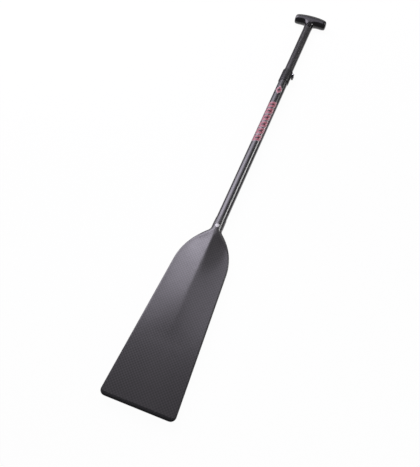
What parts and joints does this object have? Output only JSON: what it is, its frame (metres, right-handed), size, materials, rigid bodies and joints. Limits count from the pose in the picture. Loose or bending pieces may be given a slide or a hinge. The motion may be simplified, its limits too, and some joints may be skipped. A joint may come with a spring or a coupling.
{
  "type": "adjustable paddle",
  "caption": "Carbon dragon-boat paddle: flat ridged blade, round shaft, cam-lever length clamp and moulded T-grip on a sliding, turning tube.",
  "frame": {"origin": "middle of the paddle's box, on the surface that it lies on face up", "axes": "+X across the blade, to the lever's side; +Y along the shaft from the blade's tip to the grip; +Z out of the blade's front face"},
  "size_m": [0.1774, 1.306, 0.0328],
  "materials": {
    "carbon": "satin clear-coated woven carbon",
    "carbon_core": "bare carbon laminate",
    "foam": "rigid closed-cell foam",
    "edge_resin": "satin resin edge",
    "white_vinyl": "satin white vinyl",
    "black_nylon": "semi-gloss moulded nylon",
    "rubber": "matt rubber",
    "steel": "polished stainless steel",
    "acetal": "smooth acetal",
    "grip_gloss": "gloss black moulding"
  },
  "bodies": {
    "paddle": {"blade_front_skin": "carbon", "blade_back_skin": "carbon", "blade_spar": "carbon_core", "blade_core_left": "foam", "blade_core_right": "foam", "blade_tip_guard": "edge_resin", "approval_disc": "white_vinyl", "main_shaft": "carbon", "shaft_foam_plug": "foam", "clamp_collar": "black_nylon", "wiper_ring": "rubber", "lever_pin": "steel", "pin_clip": "steel"},
    "lever": {"cam_lever": "black_nylon"},
    "shoe": {"brake_shoe": "rubber"},
    "bush": {"guide_bush": "acetal"},
    "grip_tube": {"inner_tube": "carbon", "tube_end_plug": "black_nylon", "tube_foam_bung": "foam", "grip_spigot": "carbon_core", "grip_front_shell": "grip_gloss", "grip_rear_shell": "grip_gloss", "grip_core": "foam"}
  },
  "joints": [
    {"name": "clamp_lever", "type": "hinge", "parent": "paddle", "child": "lever", "pos_m": [0.0186, 0.394, 0.0165], "axis": [0, 0, 1], "range_deg": [0, 150]},
    {"name": "shoe_travel", "type": "slide", "parent": "paddle", "child": "shoe", "axis": [1, 0, 0], "range_m": [0, 0.0006]},
    {"name": "length_slide", "type": "slide", "parent": "paddle", "child": "bush", "axis": [0, 1, 0], "range_m": [-0.15, 0]},
    {"name": "grip_turn", "type": "hinge", "parent": "bush", "child": "grip_tube", "pos_m": [0, 0.246, 0.0165], "axis": [0, 1, 0], "continuous": true}
  ],
  "couplings": [
    {"joint": "clamp_lever", "follows": "shoe_travel", "rad_per_m": 4363.3}
  ]
}
